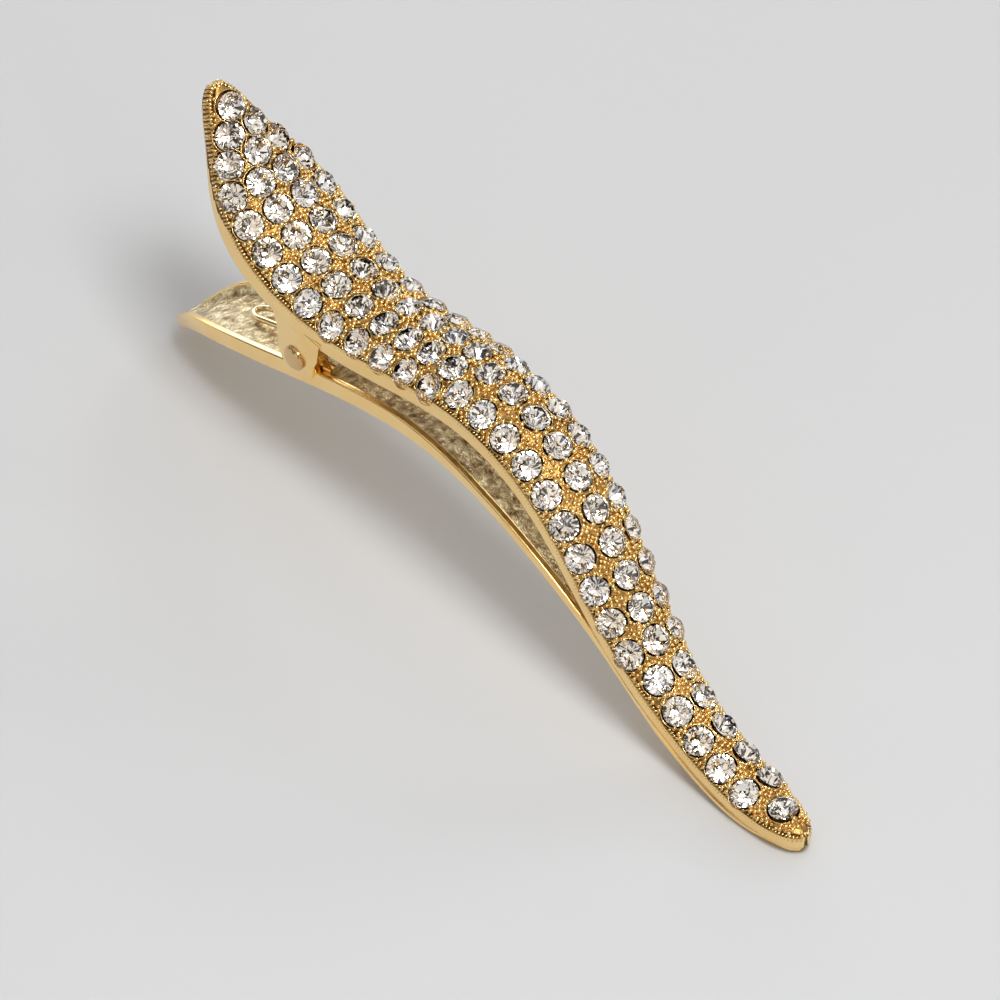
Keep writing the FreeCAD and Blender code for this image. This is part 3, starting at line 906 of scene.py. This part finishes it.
rings = []
for i in range(LOWER_COUNT):
    section = np.array(arm_ring(i))
    rings.append(in_space(lower_place[i][None, :], lower_normal[i][None, :], section[:, 0],
                          section[:, 1]))
per = len(rings[0])
arm_faces = grid_faces(LOWER_COUNT, per, close=True)
close_ends(arm_faces, LOWER_COUNT, per)
lower_verts = np.concatenate(rings)
lower_verts[:, 2] = np.maximum(lower_verts[:, 2], 0.0)
arm = mesh_object("lower_arm_trough", lower_verts, arm_faces)
arm.data.materials.append(polished)
arm.data.materials.append(cast_inside)
ring_kind = [0] * 14 + [1] * 13 + [0] * (per - 27)
arm.data.polygons.foreach_set(
    "material_index", (ring_kind * (LOWER_COUNT - 1) + [0, 0])[:len(arm.data.polygons)])
outward(arm)
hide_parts("lower_arm")
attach(arm, LOWER)

# ---------------------------------------------------------------- casting stubs under the arm
stubs = Soup()
for x, depth in ((-8.6, 0.85), (-7.7, 1.0), (-6.9, 0.8)):
    here, facing = lower_side.place(x)
    for side in (-1, 1):
        centre = np.array([here[0, 0], side * (float(lower_plan.value(x)[0]) - 0.7), here[0, 1]])
        stubs.add(centre + BALL[0] * [0.34, 0.5, 0.55 * depth], BALL[1])
stub = stubs.build("lower_arm_stubs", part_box("lower_arm"))
stub.data.materials.append(polished)
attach(stub, LOWER)

# ---------------------------------------------------------------- rivet
profile = [(0.0, 0.0), (0.8, 0.0), (0.8, 5.58), (1.16, 5.60), (HEAD_RADIUS - 0.03, 5.68),
           (HEAD_RADIUS, 5.78), (HEAD_RADIUS - 0.02, 5.88), (HEAD_RADIUS - 0.12, 5.99),
           (1.05, 6.12), (0.80, 6.21), (0.55, 6.26), (0.28, 6.285), (0.0, RIVET_HALF)]
ROUND = 48
for side, word in ((-1, "near"), (1, "far")):
    verts = []
    for r, y in profile[1:-1]:
        for k in range(ROUND):
            a = 2 * math.pi * k / ROUND
            verts.append((HINGE[0] + r * math.cos(a), side * y, HINGE[2] + r * math.sin(a)))
    count = len(profile) - 2
    faces = grid_faces(count, ROUND, close=True)
    verts.append((HINGE[0], side * RIVET_HALF, HINGE[2]))
    tip = len(verts) - 1
    last = (count - 1) * ROUND
    for k in range(ROUND):
        faces.append((last + k, last + (k + 1) % ROUND, tip))
    faces.append(tuple(range(ROUND)))
    head = mesh_object("rivet_head_" + word, verts, faces)
    outward(head)
    shade_by_angle(head, 50)
    head.data.materials.append(rivet_gold)
    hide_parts("hinge_rivet")
    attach(head, UPPER)

# ---------------------------------------------------------------- torsion spring
WIRE = 0.33
COIL = 1.45
COIL_MIDDLE = 1.60
TURNS = 3
LEG_REACH = 7.5
LEG_RISE = 4.0
BAIL_X = -11.0
BAIL_Z = -6.05


def half_spring(side):
    """Upper leg, coil and lower leg of one side, as one path ending at the bail."""
    outer = COIL_MIDDLE + WIRE * TURNS - WIRE
    inner = COIL_MIDDLE - WIRE * TURNS + WIRE
    start = math.pi / 2
    turns = TURNS - 0.5
    path = []
    for share in np.linspace(0, 1, 14)[:-1]:
        path.append((LEG_REACH * (1 - share), outer, LEG_RISE * (1 - share) + COIL * share))
    for share in np.linspace(0, 1, int(30 * turns)):
        a = start + share * turns * 2 * math.pi
        path.append((COIL * math.cos(a), outer + (inner - outer) * share, COIL * math.sin(a)))
    x, y, z = path[-1]
    for share in np.linspace(0, 1, 16)[1:]:
        path.append((x + (BAIL_X - x) * share, inner, z + (BAIL_Z - z) * share))
    for a in np.linspace(0, math.pi / 2, 8)[1:]:
        path.append((BAIL_X - 1.8 * math.sin(a), inner * math.cos(a),
                     BAIL_Z - 0.75 * math.sin(a)))
    return [HINGE + np.array([px, side * py, pz]) for px, py, pz in path]


near_half = half_spring(-1)
far_half = half_spring(1)
verts, faces = tube(near_half + far_half[::-1][1:], WIRE)
spring = mesh_object("spring_wire_form", verts, faces)
outward(spring)
spring.data.materials.append(wire_gold)
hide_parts("torsion_spring")
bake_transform(spring)

# ---------------------------------------------------------------- floor
floor_mat, nodes, links, shader = material("pale_floor")
coords = nodes.new("ShaderNodeTexCoord")
drift = noise(nodes, links, coords, 6.0, 2.0)
tone = ramp(nodes, links, drift.outputs["Fac"],
            [(0.3, (0.630, 0.636, 0.644, 1)), (0.7, (0.645, 0.651, 0.660, 1))])
links.new(tone.outputs["Color"], shader.inputs["Base Color"])
shader.inputs["Roughness"].default_value = 0.9
shader.inputs["Specular IOR Level"].default_value = 0.1
ground = mesh_object("floor", [(-900, -900, 0), (900, -900, 0), (900, 900, 0), (-900, 900, 0)],
                     [(0, 1, 2, 3)], smooth=False)
ground.location.z = -0.02 * MM
ground.data.materials.append(floor_mat)

# ---------------------------------------------------------------- camera
AZIMUTH = math.radians(50)
ELEVATION = math.radians(45)
LENS = 1000.0
VIEW_WIDTH = 97.0
SENSOR = 36.0
AIM_RIGHT = 15.55
AIM_DOWN = 16.39
to_camera = np.array([math.sin(AZIMUTH) * math.cos(ELEVATION),
                      -math.cos(AZIMUTH) * math.cos(ELEVATION), math.sin(ELEVATION)])
right = np.array([math.cos(AZIMUTH), math.sin(AZIMUTH), 0])
up = np.cross(to_camera, right)
aim = HINGE + right * AIM_RIGHT - up * AIM_DOWN
camera_data = bpy.data.cameras.new("camera")
camera_data.lens = LENS
camera_data.sensor_width = SENSOR
camera_data.clip_start = 0.01
camera_data.clip_end = 50.0
camera = bpy.data.objects.new("camera", camera_data)
bpy.context.scene.collection.objects.link(camera)
distance = VIEW_WIDTH * LENS / SENSOR
camera.location = Vector((aim + to_camera * distance) * MM)
camera.rotation_mode = "QUATERNION"
camera.rotation_quaternion = Vector(-to_camera).to_track_quat("-Z", "Y")
bpy.context.scene.camera = camera


# ---------------------------------------------------------------- studio light
def softbox(name, way, distance_mm, size_mm, power):
    """A rectangular area light in the given direction, facing the frame's origin."""
    data = bpy.data.lights.new(name, "AREA")
    data.shape = "RECTANGLE"
    data.size = size_mm[0] * MM
    data.size_y = size_mm[1] * MM
    data.energy = power
    obj = bpy.data.objects.new(name, data)
    bpy.context.scene.collection.objects.link(obj)
    way = np.array(way, float) / np.linalg.norm(way)
    obj.location = Vector(way * distance_mm * MM)
    obj.rotation_mode = "QUATERNION"
    obj.rotation_quaternion = Vector(-way).to_track_quat("-Z", "Y")
    obj.visible_camera = False
    return obj


away = np.array([-math.sin(AZIMUTH), math.cos(AZIMUTH), 0])
softbox("key", right * 0.22 - away * 0.48 + np.array([0, 0, 1.2]), 620, (165, 165), 2.0)
softbox("back_strip", right * 0.7 + away * 0.8 + np.array([0, 0, 0.7]), 450, (200, 50), 0.16)
softbox("near_strip", -away * 0.9 + right * 0.35 + np.array([0, 0, 0.9]), 480, (40, 200), 0.10)
softbox("lever_card", np.array([-0.89, 0.45, 0.22]), 420, (240, 120), 0.22)

# A room with bright and dark patches all round, for the stones and beads to mirror.
world = bpy.data.worlds.new("studio")
bpy.context.scene.world = world
world.use_nodes = True
nodes, links = world.node_tree.nodes, world.node_tree.links
sky = nodes.new("ShaderNodeTexCoord")
patches = nodes.new("ShaderNodeTexNoise")
patches.inputs["Scale"].default_value = 3.6
patches.inputs["Detail"].default_value = 2.0
links.new(sky.outputs["Generated"], patches.inputs["Vector"])
shades = ramp(nodes, links, patches.outputs["Fac"],
              [(0.40, (0.03, 0.026, 0.02, 1)), (0.474, (0.14, 0.12, 0.10, 1)),
               (0.482, (0.25, 0.38, 0.80, 1)), (0.490, (0.80, 0.78, 0.75, 1)),
               (0.58, (1.20, 1.18, 1.14, 1))])
background = nodes["Background"]
links.new(shades.outputs["Color"], background.inputs["Color"])
background.inputs["Strength"].default_value = 0.84
bpy.context.scene.view_settings.view_transform = "Standard"
